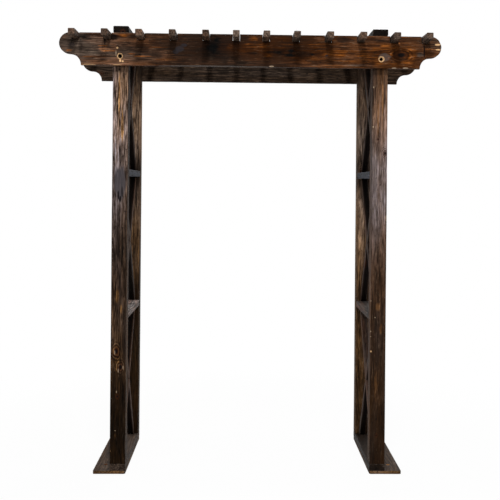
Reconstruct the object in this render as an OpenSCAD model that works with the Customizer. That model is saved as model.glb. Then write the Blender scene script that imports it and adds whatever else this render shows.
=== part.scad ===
// Walk-through garden arbor of stained lumber.
// Two ladder-like side frames stand on flat base plates. A shaped beam is bolted
// across them at the front and at the back, and rafters are let into both beams.
// Millimetres: X runs across the walkway, -Y is the front, +Z is up.
// The origin is on the ground in the middle of the walkway.

/* [Overall] */
// Clear width of the walkway between the sole boards
walkway_w = 1392; // [1100:1:2400]
// Depth of a side frame from front to back
frame_d = 762; // [550:1:1500]
// Height of the cap tops above the ground
overall_h = 2548; // [2300:1:3200]

/* [Base plates] */
// Width of a base plate
plate_w = 184; // [140:1:300]
// Thickness of a base plate
plate_t = 19; // [12:1:38]
// Radius of the base plates' rounded corners
plate_corner_r = 12; // [2:1:30]
// Diameter of the anchor holes
anchor_d = 20; // [8:1:30]
// Distance from the end of a plate to its anchor holes
anchor_end = 122; // [40:1:200]
// Distance from the outer edge of a plate to its anchor holes
anchor_edge = 57; // [20:1:70]

/* [Side frames] */
// Side of the square posts
post_w = 89; // [60:1:89]
// Radius of the eased long edges of the posts
post_ease = 5; // [1:0.5:12]
// Width of the sole and cap boards
board_w = 89; // [89:1:130]
// Thickness of the sole, cap and rail boards
board_t = 38; // [19:1:60]
// Radius of the eased long edges of the boards and rafters
board_ease = 3; // [1:0.5:8]
// Height of the lower rail's underside above the ground
lower_rail_z = 874; // [500:1:1100]
// Height of the upper rail's underside above the ground
upper_rail_z = 1697; // [1400:1:1900]

/* [Braces] */
// Width of a brace in the plane of its cross
brace_w = 38; // [20:1:60]
// Thickness of a brace across that plane
brace_t = 38; // [16:1:60]

/* [Beams] */
// Height of a beam
beam_h = 184; // [150:1:240]
// Thickness of a beam
beam_t = 38; // [25:1:60]
// Length of a beam beyond the outer face of a post
beam_overhang = 299; // [250:1:500]
// Step from the cap tops down to the beam tops
cap_rise = 45; // [40:1:80]
// Radius of the bullnose at the ends of a beam
nose_r = 61; // [30:1:70]

/* [Bolt holes] */
// Diameter of the bolt holes through beam and post
bolt_d = 13; // [8:1:20]
// Diameter of the countersink at the face of the beam
sink_d = 33; // [24:1:45]
// Depth of the countersink
sink_depth = 10; // [4:1:16]
// Height of the bolt holes above the underside of the beam
bolt_rise = 52; // [30:1:100]

/* [Rafters] */
// Side of the square rafters
rafter_w = 38; // [25:1:50]
// Length of a rafter beyond the face of each beam
rafter_overhang = 145; // [60:1:300]
// Play on each side of a rafter in its notch
notch_play = 2; // [1:1:6]
// Spacing of the rafters that are laid out from the posts inwards
rafter_pitch = 184; // [120:1:190]
// Distance from the end of a beam to the middle of its outermost rafter
rafter_end = 94; // [85:1:110]
// Distance from a post's outer face to the middle of the rafter beside it
rafter_outer = 25; // [25:1:60]
// Distance from the sole's inner edge to the middle of the next rafter inwards
rafter_inner = 74; // [40:1:120]

/* [Hidden] */
$fn = 48;
EPS = 1;

// Places across the walkway, measured out from its middle
sole_in = walkway_w / 2;
frame_out = sole_in + board_w;
post_in = frame_out - post_w;
post_mid = frame_out - post_w / 2;
plate_out = sole_in + plate_w;
anchor_x = plate_out - anchor_edge;

// Places from front to back
bay_d = frame_d - 2 * post_w;
face_y = frame_d / 2;
post_y = face_y - post_w / 2;
beam_y = face_y + beam_t / 2;
anchor_y = face_y - anchor_end;
rafter_l = frame_d + 2 * beam_t + 2 * rafter_overhang;

// Heights
sole_top = plate_t + board_t;
cap_z = overall_h - board_t;
post_h = cap_z - sole_top;
beam_top = overall_h - cap_rise;
beam_z = beam_top - beam_h;
bolt_z = beam_z + bolt_rise;

// Beam ends
beam_half = frame_out + beam_overhang;
nose_x = beam_half - nose_r;
cove_r = beam_h - 2 * nose_r;

// Middles of the rafters, from the outermost inwards to the middle of the walkway
first_inner_x = sole_in - rafter_inner;
last_inner_x = first_inner_x - 2 * rafter_pitch;
RAFTER_X = [
    beam_half - rafter_end,
    frame_out + rafter_outer,
    first_inner_x,
    first_inner_x - rafter_pitch,
    last_inner_x,
    last_inner_x / 3,
];
RAFTERS_A_SIDE = len(RAFTER_X);

// The three bays of a side frame: name, bottom and top
BAYS = [
    ["lower", sole_top, lower_rail_z],
    ["middle", lower_rail_z + board_t, upper_rail_z],
    ["upper", upper_rail_z + board_t, cap_z],
];
SIDES = [["left", -1], ["right", 1]];
ENDS = [["front", -1], ["back", 1]];
RAILS = [["lower", lower_rail_z], ["upper", upper_rail_z]];
SLOPES = [["falling", -1], ["rising", 1]];

NODES = concat(
    [for (s = SIDES) str(s[0], "_base_plate")],
    [for (s = SIDES) str(s[0], "_sole")],
    [for (s = SIDES) str(s[0], "_cap")],
    [for (s = SIDES, e = ENDS) str(s[0], "_", e[0], "_post")],
    [for (s = SIDES, r = RAILS) str(s[0], "_", r[0], "_rail")],
    [for (s = SIDES, b = BAYS, d = SLOPES) str(s[0], "_", b[0], "_brace_", d[0])],
    [for (e = ENDS) str(e[0], "_beam")],
    [for (s = SIDES, i = [1:RAFTERS_A_SIDE]) str(s[0], "_rafter_", i)]
);
node = "all";

// Stained pine, browner where it is sheltered and greyer where rain reaches it
POST_COLOUR = [0.36, 0.27, 0.20];
BOARD_COLOUR = [0.45, 0.41, 0.37];
PLATE_COLOUR = [0.50, 0.46, 0.43];
BRACE_COLOUR = [0.30, 0.24, 0.19];
BEAM_COLOUR = [0.42, 0.28, 0.18];
RAFTER_COLOUR = [0.48, 0.40, 0.34];

function wanted(name) = node == "all" || node == name;

// A rectangle about the origin with its corners rounded to radius r
module eased_outline(w, h, r) {
    square([w, h - 2 * r], center = true);
    square([w - 2 * r, h], center = true);
    for (sx = [-1, 1], sy = [-1, 1]) translate([sx * (w / 2 - r), sy * (h / 2 - r)]) circle(r);
}

// A board that runs from front to back, with its middle at x and its underside at z
module board_along_y(x, z, w, h, length) {
    translate([x, 0, z + h / 2]) rotate([90, 0, 0])
        linear_extrude(length, center = true) eased_outline(w, h, board_ease);
}

// A flat board under or over both posts of a frame, side is -1 or 1
module frame_board(side, z) {
    board_along_y(side * (sole_in + board_w / 2), z, board_w, board_t, frame_d);
}

module base_plate(side) {
    color(PLATE_COLOUR) difference() {
        translate([side * (sole_in + plate_w / 2), 0, 0])
            linear_extrude(plate_t) eased_outline(plate_w, frame_d, plate_corner_r);
        for (sy = [-1, 1])
            translate([side * anchor_x, sy * anchor_y, -EPS]) cylinder(h = plate_t + 2 * EPS, d = anchor_d);
    }
}

module sole(side) {
    color(BOARD_COLOUR) frame_board(side, plate_t);
}

module cap(side) {
    color(BOARD_COLOUR) frame_board(side, cap_z);
}

// A hole of the beam's bolts, drilled along Y through whatever stands at side and end
module bolt_hole(side, length) {
    translate([side * post_mid, 0, bolt_z]) rotate([90, 0, 0])
        cylinder(h = length, d = bolt_d, center = true);
}

module post(side, end) {
    color(POST_COLOUR) difference() {
        translate([side * post_mid, end * post_y, sole_top])
            linear_extrude(post_h) eased_outline(post_w, post_w, post_ease);
        translate([0, end * post_y, 0]) bolt_hole(side, post_w + 2 * EPS);
    }
}

module rail(side, z) {
    color(BOARD_COLOUR) board_along_y(side * post_mid, z, post_w, board_t, bay_d);
}

// The outline of a brace from corner to corner of a bay, seen along X: Y to the right, Z up.
// slope is 1 where it rises towards the back.
module brace_outline(bay, slope) {
    bay_h = bay[2] - bay[1];
    intersection() {
        translate([-bay_d / 2, bay[1]]) square([bay_d, bay_h]);
        translate([0, (bay[1] + bay[2]) / 2]) rotate(slope * atan2(bay_h, bay_d))
            square([norm([bay_d, bay_h]) + 2 * brace_w, brace_w], center = true);
    }
}

// A slab of a brace between two distances along X from the middle of the posts
module brace_slab(side, bay, slope, x_from, x_to) {
    translate([side * post_mid + x_from, 0, 0]) rotate([90, 0, 90])
        linear_extrude(x_to - x_from) brace_outline(bay, slope);
}

// One square bar of a cross. The bars are half-lapped: each keeps one half of its
// thickness where they meet, the falling one the half towards the walkway.
module brace(side, bay, slope) {
    half = brace_t / 2;
    lost = side * slope;
    color(BRACE_COLOUR) difference() {
        brace_slab(side, bay, slope, -half, half);
        brace_slab(side, bay, -slope, lost > 0 ? 0 : -brace_t, lost > 0 ? brace_t : 0);
    }
}

// The beam's outline seen from the front, with its underside on the X axis
module beam_outline() {
    difference() {
        union() {
            translate([-nose_x, 0]) square([2 * nose_x, beam_h]);
            for (s = [-1, 1]) translate([s * nose_x, beam_h - nose_r]) circle(nose_r);
        }
        for (s = [-1, 1]) translate([s * nose_x, 0]) circle(cove_r);
        for (s = [-1, 1], x = RAFTER_X) translate([s * x, beam_h])
            square([rafter_w + 2 * notch_play, 2 * rafter_w], center = true);
    }
}

// The countersunk mouth of a bolt hole, at the outer face of the beam
module bolt_sink(side, end) {
    translate([side * post_mid, end * (face_y + beam_t), bolt_z]) rotate([-end * 90, 0, 0])
        translate([0, 0, -sink_depth])
            cylinder(h = sink_depth + EPS, d1 = bolt_d, d2 = sink_d + EPS * (sink_d - bolt_d) / sink_depth);
}

module beam(end) {
    color(BEAM_COLOUR) difference() {
        translate([0, end * beam_y, beam_z]) rotate([90, 0, 0])
            linear_extrude(beam_t, center = true) beam_outline();
        for (side = [-1, 1]) {
            translate([0, end * beam_y, 0]) bolt_hole(side, beam_t + 2 * EPS);
            bolt_sink(side, end);
        }
    }
}

module rafter(x) {
    color(RAFTER_COLOUR) board_along_y(x, beam_top - rafter_w, rafter_w, rafter_w, rafter_l);
}

for (s = SIDES) {
    if (wanted(str(s[0], "_base_plate"))) base_plate(s[1]);
    if (wanted(str(s[0], "_sole"))) sole(s[1]);
    if (wanted(str(s[0], "_cap"))) cap(s[1]);
    for (e = ENDS) if (wanted(str(s[0], "_", e[0], "_post"))) post(s[1], e[1]);
    for (r = RAILS) if (wanted(str(s[0], "_", r[0], "_rail"))) rail(s[1], r[1]);
    for (b = BAYS, d = SLOPES)
        if (wanted(str(s[0], "_", b[0], "_brace_", d[0]))) brace(s[1], b, d[1]);
    for (i = [1:RAFTERS_A_SIDE])
        if (wanted(str(s[0], "_rafter_", i))) rafter(s[1] * RAFTER_X[i - 1]);
}
for (e = ENDS) if (wanted(str(e[0], "_beam"))) beam(e[1]);
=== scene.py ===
"""The looks of a wooden garden arbor: worn, dark-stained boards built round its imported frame.

Each board is a mesh of its own in the place of its CAD node, with eased and chipped edges,
checks along the grain and drilled holes. Metres: X across the walkway, -Y the front, +Z up.
"""
import random
from math import ceil, cos, pi, radians, sin

import bmesh
import bpy
import numpy as np
from mathutils import Matrix, Vector


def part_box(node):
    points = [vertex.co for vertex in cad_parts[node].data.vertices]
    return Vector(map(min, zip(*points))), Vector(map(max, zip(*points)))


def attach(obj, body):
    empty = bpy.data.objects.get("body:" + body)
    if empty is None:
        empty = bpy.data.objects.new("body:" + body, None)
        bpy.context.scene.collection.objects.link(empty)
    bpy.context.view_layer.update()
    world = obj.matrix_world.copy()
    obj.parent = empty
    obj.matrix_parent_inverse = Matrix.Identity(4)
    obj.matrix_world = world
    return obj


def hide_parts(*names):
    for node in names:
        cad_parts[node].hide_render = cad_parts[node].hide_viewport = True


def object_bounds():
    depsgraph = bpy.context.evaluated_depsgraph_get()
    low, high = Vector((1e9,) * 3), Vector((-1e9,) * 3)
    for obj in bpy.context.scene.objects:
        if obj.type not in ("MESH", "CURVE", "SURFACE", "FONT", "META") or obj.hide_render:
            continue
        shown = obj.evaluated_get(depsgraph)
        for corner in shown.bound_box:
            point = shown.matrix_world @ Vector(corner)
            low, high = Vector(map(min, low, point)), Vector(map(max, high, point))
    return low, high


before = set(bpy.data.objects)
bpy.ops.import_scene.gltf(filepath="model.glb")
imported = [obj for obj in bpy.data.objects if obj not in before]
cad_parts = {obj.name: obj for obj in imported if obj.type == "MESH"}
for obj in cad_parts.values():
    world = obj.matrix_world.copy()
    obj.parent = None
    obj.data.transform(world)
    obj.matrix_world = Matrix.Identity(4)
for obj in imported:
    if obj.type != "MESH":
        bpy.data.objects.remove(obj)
cad_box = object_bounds()

SIDES = (("left", -1), ("right", 1))
ENDS = (("front", -1), ("back", 1))
BAYS = ("lower", "middle", "upper")
SLOPES = (("falling", -1), ("rising", 1))


def add_object(name, data):
    """A new object in the scene."""
    made = bpy.data.objects.new(name, data)
    bpy.context.scene.collection.objects.link(made)
    return made


def mesh_from(bm, name):
    """A bmesh made into a mesh."""
    mesh = bpy.data.meshes.new(name)
    bm.to_mesh(mesh)
    bm.free()
    return mesh


# ---- shader nodes

SHEEN = 0.025
BUMP_STRENGTH = 0.8
BUMP_DEPTH = 0.002


class Graph:
    """The nodes of a material or a world, with a short call for each kind."""

    def __init__(self, owner):
        owner.use_nodes = True
        self.owner = owner
        self.tree = owner.node_tree
        self.tree.nodes.clear()

    def node(self, kind, feeds, **settings):
        """A new node with its settings: feeds are the values or outputs that go into its inputs."""
        node = self.tree.nodes.new("ShaderNode" + kind)
        for key, value in settings.items():
            setattr(node, key, value)
        for socket, value in feeds.items():
            if isinstance(value, bpy.types.NodeSocket):
                self.tree.links.new(value, node.inputs[socket])
            else:
                node.inputs[socket].default_value = value
        return node

    def attribute(self, name, output="Fac"):
        return self.node("Attribute", {}, attribute_name=name).outputs[output]

    def math(self, operation, a, b=0.0, c=0.0, clamp=False):
        return self.node("Math", {0: a, 1: b, 2: c}, operation=operation, use_clamp=clamp).outputs[0]

    def total(self, *terms):
        """The sum of terms, each a value or a (value, factor) pair."""
        result = 0.0
        for term in terms:
            value, factor = term if isinstance(term, tuple) else (term, 1.0)
            result = self.math("MULTIPLY_ADD", value, factor, result)
        return result

    def times(self, a, b):
        return self.math("MULTIPLY", a, b)

    def vector(self, operation, a, b=(0, 0, 0), c=(0, 0, 0), output="Vector"):
        return self.node("VectorMath", {0: a, 1: b, 2: c}, operation=operation).outputs[output]

    def scaled(self, vector, factor):
        return self.node("VectorMath", {0: vector, "Scale": factor}, operation="SCALE").outputs[0]

    def parts(self, place):
        return self.node("SeparateXYZ", {0: place}).outputs

    def noise(self, place, along, aside, detail, roughness=0.55, output="Fac"):
        """Noise with one scale along the board and another through and across it."""
        feeds = {"Vector": self.vector("MULTIPLY", place, (along, aside, aside)), "Scale": 1.0}
        feeds.update({"Detail": detail, "Roughness": roughness})
        return self.node("TexNoise", feeds).outputs[output]

    def span(self, value, low, high, to_low=0.0, to_high=1.0):
        """value eased from low to high into to_low to to_high."""
        feeds = {"Value": value, "From Min": low, "From Max": high, "To Min": to_low, "To Max": to_high}
        return self.node("MapRange", feeds, interpolation_type="SMOOTHSTEP").outputs["Result"]

    def ramp(self, value, stops):
        """Colours by value: stops are (place, colour)."""
        node = self.node("ValToRGB", {0: value})
        elements = node.color_ramp.elements
        while len(elements) < len(stops):
            elements.new(0.5)
        for element, (place, paint) in zip(elements, stops):
            element.position = place
            element.color = (*paint, 1.0)
        return node.outputs[0]

    def mix(self, factor, a, b):
        """Colour a with factor of colour b over it."""
        a, b = ((*paint, 1.0) if isinstance(paint, tuple) else paint for paint in (a, b))
        return self.node("Mix", {0: factor, 6: a, 7: b}, data_type="RGBA").outputs[2]

    def finish(self, base, roughness, height):
        """The material's shader: a base colour, a roughness and a bump height in shares of BUMP_DEPTH."""
        relief = {"Height": height, "Strength": BUMP_STRENGTH, "Distance": BUMP_DEPTH}
        normal = self.node("Bump", relief).outputs[0]
        feeds = {"Base Color": base, "Roughness": roughness, "Normal": normal, "Specular IOR Level": SHEEN}
        shader = self.node("BsdfPrincipled", feeds)
        self.node("OutputMaterial", {"Surface": shader.outputs[0]})
        return self.owner


# ---- camera, light and floor

CAMERA_PLACE = (-0.050, -5.772, 1.637)
CAMERA_TURN = -0.0277
CAMERA_ROLL = 0.0087
CAMERA_LENS = 68.04
CAMERA_SHIFT = (-0.0348, -0.1253)
WHITE = (1, 1, 1, 1)
SKY_STRENGTH = 0.14
FLOOR_RADIUS = 12.0
FLOOR_DROP = 0.0005
FLOOR_COLOUR = (0.75, 0.75, 0.75, 1)
FLOOR_GLOW = 0.96
GLOW_FROM, GLOW_TO = 1.2, 3.0


def make_camera():
    """A level camera at standing height, a little left of the middle of the walkway."""
    data = bpy.data.cameras.new("camera")
    data.sensor_width = 36
    data.lens = CAMERA_LENS
    data.shift_x, data.shift_y = CAMERA_SHIFT
    camera = add_object("camera", data)
    level = Matrix.Rotation(pi / 2, 4, "X")
    turn = Matrix.Rotation(CAMERA_TURN, 4, "Z")
    roll = Matrix.Rotation(CAMERA_ROLL, 4, "Z")
    camera.matrix_world = Matrix.Translation(CAMERA_PLACE) @ turn @ level @ roll
    bpy.context.scene.camera = camera


def area_light(name, place, target, size, power):
    """A soft rectangular lamp at place that points at target."""
    data = bpy.data.lights.new(name, "AREA")
    data.shape = "RECTANGLE"
    data.size, data.size_y = size
    data.energy = power
    lamp = add_object(name, data)
    lamp.location = place
    lamp.rotation_euler = (Vector(target) - Vector(place)).to_track_quat("-Z", "Y").to_euler()


def make_lights():
    """One soft box high in front over a wide one, and weaker ones behind and at both sides."""
    area_light("key_light", (0.0, -4.3, 6.0), (0, -0.3, 1.5), (0.7, 0.5), 240)
    area_light("front_light", (0.0, -5.4, 3.3), (0, -0.4, 1.7), (3.2, 1.0), 110)
    area_light("back_light", (0.8, 4.6, 5.2), (0, 0, 1.4), (2.0, 1.5), 170)
    for side, sign in SIDES:
        area_light(side + "_light", (sign * 4.6, 0.6, 3.6), (0, 0, 1.3), (1.8, 1.8), 45)


def seen_directly(g):
    """1 on a ray from the camera, a mirror or glass."""
    rays = g.node("LightPath", {}).outputs
    seen = rays["Is Camera Ray"]
    for kind in ("Is Glossy Ray", "Is Transmission Ray"):
        seen = g.math("MAXIMUM", seen, rays[kind])
    return seen


def make_world():
    """White where the camera, a mirror or glass sees it, and a dim even light on the object."""
    world = bpy.data.worlds.new("sky")
    bpy.context.scene.world = world
    g = Graph(world)
    light = g.node("Background", {"Color": WHITE, "Strength": SKY_STRENGTH}).outputs[0]
    white = g.node("Background", {"Color": WHITE, "Strength": 1.0}).outputs[0]
    both = g.node("MixShader", {0: seen_directly(g), 1: light, 2: white})
    g.node("OutputWorld", {"Surface": both.outputs[0]})


def make_floor():
    """A white floor that keeps the arbor's shadow and runs out into the white background."""
    g = Graph(bpy.data.materials.new("floor_white"))
    place = g.node("NewGeometry", {}).outputs["Position"]
    away = g.vector("LENGTH", g.vector("MULTIPLY", place, (1, 1, 0)), output="Value")
    share = g.times(seen_directly(g), g.span(away, GLOW_FROM, GLOW_TO, FLOOR_GLOW, 1.0))
    diffuse = g.node("BsdfDiffuse", {"Color": FLOOR_COLOUR}).outputs[0]
    white = g.node("Emission", {"Color": WHITE, "Strength": 1.0}).outputs[0]
    both = g.node("MixShader", {0: share, 1: diffuse, 2: white})
    g.node("OutputMaterial", {"Surface": both.outputs[0]})
    bm = bmesh.new()
    bmesh.ops.create_circle(bm, cap_ends=True, segments=64, radius=FLOOR_RADIUS)
    floor = add_object("floor", mesh_from(bm, "floor"))
    floor.data.materials.append(g.owner)
    floor.location.z = cad_box[0][2] - FLOOR_DROP


# ---- the wood

# a stain's tint where it is thick and where it is rubbed thin, of equal brightness
BROWN = ((1.42, 0.90, 0.62), (1.26, 0.95, 0.76))
FADED = ((1.42, 0.90, 0.64), (1.09, 0.97, 1.06))
GREY = ((1.14, 0.98, 0.90), (1.07, 0.98, 0.96))
# blue-grey: a painted reflection of the white surroundings on the upper rail's faces seen at a glancing angle
BLUE_GREY_SHEEN = ((0.95, 0.99, 1.20), (0.90, 0.99, 1.28))
ORANGE = ((2.45, 0.66, 0.08), (2.20, 0.75, 0.16))
OLIVE = ((1.85, 0.83, 0.26), (1.62, 0.88, 0.36))
RUSSET = ((2.00, 0.79, 0.22), (1.62, 0.87, 0.44))
TONE_LEVELS = (0.0, 0.15, 0.30, 0.45, 0.62)
DISPLAY_POWER = 2.2
STREAKS = 2.0

BARE = (0.62, 0.38, 0.19)
SOOT = (0.004, 0.003, 0.003)
SLATE = (0.019, 0.0165, 0.019)
ASH = (0.110, 0.098, 0.090)
CREAM = (0.34, 0.25, 0.17)
RUST = (0.040, 0.012, 0.004)
DUST = (0.088, 0.070, 0.060)
DUST_SHADE = (0.034, 0.026, 0.022)
# grey of edges rubbed through the stain, partly a painted highlight along lit rounded arrises
EDGE_WEAR_AND_HIGHLIGHT = (0.150, 0.112, 0.085)
WEATHERED = (0.046, 0.042, 0.047)

SHIFT_WAY = (7.31, 3.17, 5.53)
KNOT_CELLS = (5.0, 13.0, 13.0)
KNOT_SHARE = 0.20
FEW_KNOTS = 0.05
KNOT_LENGTH = 1.6
PITH_DEPTH = 0.06
PITH_ASIDE = 0.05
RING_GAP = 0.0085
MARK_DEPTH = 0.012

# marks are given in millimetres, and tones and warmths in hundredths
MM = 1000
FULL = 100


def tone_stops(tints):
    """Colours from the darkest stain to bare rubbed wood, in steps that look even."""
    stops = []
    for step, level in enumerate(TONE_LEVELS):
        share = step / (len(TONE_LEVELS) - 1)
        tint = [thick + (thin - thick) * share for thick, thin in zip(*tints)]
        stops.append((share, tuple(level**DISPLAY_POWER * part for part in tint)))
    return stops


def oval(g, place, face, along, across, half_along, half_across):
    """How far a place is from the middle of an oval on a face: 1 at its rim."""
    halves = (half_along / MM, MARK_DEPTH, half_across / MM)
    middle = (along / MM, face, across / MM)
    start = [-m / h for m, h in zip(middle, halves)]
    spread = g.vector("MULTIPLY_ADD", place, [1 / h for h in halves], start)
    return g.vector("LENGTH", spread, output="Value")


def seeded_knots(g, own, share):
    """Knots in a share of a loose grid's cells: their push on the fibres, halo, heart and curls."""
    place = g.vector("MULTIPLY", own, KNOT_CELLS)
    cells = g.node("TexVoronoi", {"Vector": place, "Scale": 1.0}).outputs
    is_knot = g.math("LESS_THAN", g.parts(cells["Color"])[0], share)

    def near(low, high, most):
        return g.times(is_knot, g.span(cells["Distance"], low, high, most, 0.0))

    aside = g.vector("MULTIPLY", g.vector("SUBTRACT", place, cells["Position"]), (0, -1, -1))
    turns = g.math("SINE", g.times(cells["Distance"], 110.0))
    push = g.scaled(aside, near(0.10, 0.50, 0.055))
    curl = g.times(near(0.20, 0.45, 0.5), turns)
    return push, near(0.12, 0.28, 0.6), near(0.06, 0.11, 1.0), curl


def placed_knots(g, place, ragged, face, knots, flow, halo, heart, curl):
    """The fibres' flow, halos, hearts and curls with the knots on the face added."""
    for along, across, size in knots:
        rim = oval(g, place, face, along, across, KNOT_LENGTH * size, size)
        gap = g.math("MULTIPLY_ADD", ragged, 0.5, rim)
        away = g.vector("SUBTRACT", (along / MM, face, across / MM), place)
        aside = g.vector("MULTIPLY", away, (0, 0, 1))
        flow = g.vector("ADD", flow, g.scaled(aside, g.span(gap, 0.8, 3.2, 0.8, 0.0)))
        halo = g.math("MAXIMUM", halo, g.span(gap, 0.7, 1.8, 0.6, 0.0))
        heart = g.math("MAXIMUM", heart, g.span(gap, 0.4, 0.8, 1.0, 0.0))
        turns = g.math("SINE", g.times(gap, 35 / size + 5.0))
        curl = g.math("MULTIPLY_ADD", turns, g.span(gap, 1.0, 3.2, 0.5, 0.0), curl)
    return flow, halo, heart, curl


def growth_rings(g, bent):
    """Rings round a pith behind the board."""
    _, through, across = g.parts(bent)
    lean = g.times(g.math("SINE", g.attribute("shift")), PITH_ASIDE)
    centre = g.node("CombineXYZ", {0: g.total(through, PITH_DEPTH), 1: g.total(across, lean)}).outputs[0]
    away = g.vector("LENGTH", centre, output="Value")
    return g.math("SINE", g.times(away, 2 * pi / RING_GAP))


def worn(g, base, own):
    """Edges rubbed to a grey line that is partly a painted highlight on the lit rounded arris, chips to raw
    wood, splits to black.
    """
    wear_and_highlight = g.span(g.total(g.attribute("edge"), g.noise(own, 9, 40, 3)), 1.15, 1.50)
    base = g.mix(g.times(wear_and_highlight, 0.55), base, EDGE_WEAR_AND_HIGHLIGHT)
    raw = g.span(g.total(g.attribute("raw"), (g.noise(own, 60, 140, 3), 0.5)), 0.62, 0.85)
    base = g.mix(raw, base, BARE)
    return g.mix(g.span(g.attribute("check"), 0.05, 0.5), base, SOOT)


def dusty(g, base, own, streak, dust):
    """Dust and grey weathering on what faces up."""
    up = g.parts(g.node("NewGeometry", {}).outputs["Normal"])[2]
    patchy = g.span(g.noise(own, 7, 34, 4, 0.65), 0.3, 0.7, 0.4 * dust, dust)
    grey = g.mix(g.span(streak, 0.38, 0.62), DUST_SHADE, DUST)
    return g.mix(g.times(g.span(up, 0.45, 0.9), patchy), base, grey)


def wood(contrast, dust=0.7, cool=BROWN, warm_tint=ORANGE,
         face=0.0, shades=(), stains=(), knots=()):
    """Stained pine with rings, fibres and knots along the board, rubbed through in streaks.

    It reads a board's own values: grain is the place along, through and across it, tone how far the stain
    is rubbed off, warm how far its colour runs from cool to warm_tint, and edge, raw and check where there
    is an edge, a chip or a split. Shades, stains and knots lie on the face that is at face through the board.
    """
    g = Graph(bpy.data.materials.new("wood"))
    place = g.attribute("grain", "Vector")
    own = g.vector("ADD", place, g.scaled(SHIFT_WAY, g.attribute("shift")))
    ragged = g.math("MULTIPLY_ADD", g.noise(own, 14, 70, 4, 0.65), 2.4, -1.2)

    # the fibres drift, and part round the knots
    push, *seeded = seeded_knots(g, own, FEW_KNOTS if knots else KNOT_SHARE)
    drift = g.vector("SUBTRACT", g.noise(own, 1.4, 8, 2, output="Color"), (0.5, 0.5, 0.5))
    flow = g.vector("MULTIPLY_ADD", drift, (0, 0.035, 0.035), push)
    flow, halo, heart, curl = placed_knots(g, place, ragged, face, knots, flow, *seeded)
    bent = g.vector("ADD", own, flow)

    ring = growth_rings(g, g.vector("ADD", place, flow))
    fibre = g.noise(bent, 24, 480, 2, 0.6)
    fleck = g.noise(bent, 15, 170, 3, 0.6)
    streak = g.noise(bent, 6, 150, 4, 0.65)
    band = g.noise(bent, 2.2, 34, 3, 0.55)
    cloud = g.noise(own, 7, 18, 4, 0.65)

    tone, warm = g.attribute("tone"), g.attribute("warm")
    for *mark, lighter, warmer in shades:
        cover = g.span(g.math("ADD", oval(g, place, face, *mark), ragged), 1.35, 0.35)
        tone = g.math("MULTIPLY_ADD", cover, lighter / FULL, tone)
        warm = g.math("MULTIPLY_ADD", cover, warmer / FULL, warm)
    coarse = g.total(-1.80, (fleck, 1.05), (streak, 1.20), (band, 0.60), (cloud, 0.50))
    uneven = g.total(coarse, (fibre, 0.24), (ring, 0.04), (curl, 0.6))
    tone = g.math("MULTIPLY_ADD", g.times(tone, uneven), STREAKS * contrast, tone)
    warmth = g.total(warm, -1.1, (g.noise(own, 1.9, 15, 3), 1.5), (streak, 0.7))
    warmth = g.math("ADD", warmth, 0.0, clamp=True)
    base = g.mix(warmth, g.ramp(tone, tone_stops(cool)), g.ramp(tone, tone_stops(warm_tint)))

    # fine pale scratches along the grain, dark specks, knots and stains
    scratch = g.span(g.noise(bent, 24, 330, 2, 0.5), 0.60, 0.72)
    base = g.mix(g.times(scratch, g.span(tone, 0.1, 0.7, 0.05, 0.5)), base, CREAM)
    speck = g.span(g.noise(own, 45, 120, 3, 0.6), 0.40, 0.30)
    base = g.mix(g.times(speck, 0.8), base, SOOT)
    base = g.mix(halo, base, RUST)
    base = g.mix(heart, base, SOOT)
    for *mark, paint, strength in stains:
        gap = g.math("MULTIPLY_ADD", ragged, 0.45, oval(g, place, face, *mark))
        base = g.mix(g.span(gap, 1.15, 0.75, 0.0, strength), base, paint)

    base = dusty(g, worn(g, base, own), own, streak, dust)
    height = g.total((fibre, 0.6), (streak, 0.9), (ring, 0.06), (heart, -0.5))
    return g.finish(base, g.span(tone, 0.0, 1.0, 0.55, 0.85), height)


def drilled(base):
    """The inside of a bore, or the raw wood round it: torn fibres in one colour."""
    g = Graph(bpy.data.materials.new("wood"))
    place = g.vector("MULTIPLY", g.node("NewGeometry", {}).outputs["Position"], (160, 300, 160))
    grain = g.noise(place, 1, 1, 4, 0.7)
    dark = tuple(0.35 * part for part in base)
    return g.finish(g.mix(g.span(grain, 0.35, 0.62), dark, base), 0.85, grain)


# ---- boards

STATION_GAP = 0.011
POINT_GAP = 0.009
END_EASE = 0.0025
ARC_STEPS = 4
EDGE_REACH = 0.007
EDGE_WEAR = 0.0012
FACE_BOW = 0.0005
CHIP_DEPTH = 0.0035
CHECK_CLEAR = 2.2
OPEN_SPLIT = 0.0004
ALONG_X = ((1, 0, 0), (0, 1, 0), (0, 0, 1))
ALONG_Y = ((0, 1, 0), (0, 0, 1), (1, 0, 0))
ALONG_Z = ((0, 0, 1), (0, -1, 0), (1, 0, 0))


class Board:
    """A board: its start's middle, its axes along, through and across, its sizes and a sawn one's outline."""

    def __init__(self, start, axes, length, depth, width):
        self.start = np.array(start, float)
        self.axes = np.array(axes, float)
        self.length, self.depth, self.width = length, depth, width
        self.outline = None

    def world(self, local):
        return self.start + local @ self.axes

    def local(self, points):
        return (points - self.start) @ self.axes.T


def board_in(node, axes):
    """The board that fills a node's box, with its length along the first of the axes."""
    low, high = (np.array(corner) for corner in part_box(node))
    axes = np.array(axes, float)
    sizes = np.abs(axes) @ (high - low)
    return Board((low + high) / 2 - axes[0] * sizes[0] / 2, axes, *sizes)


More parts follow.
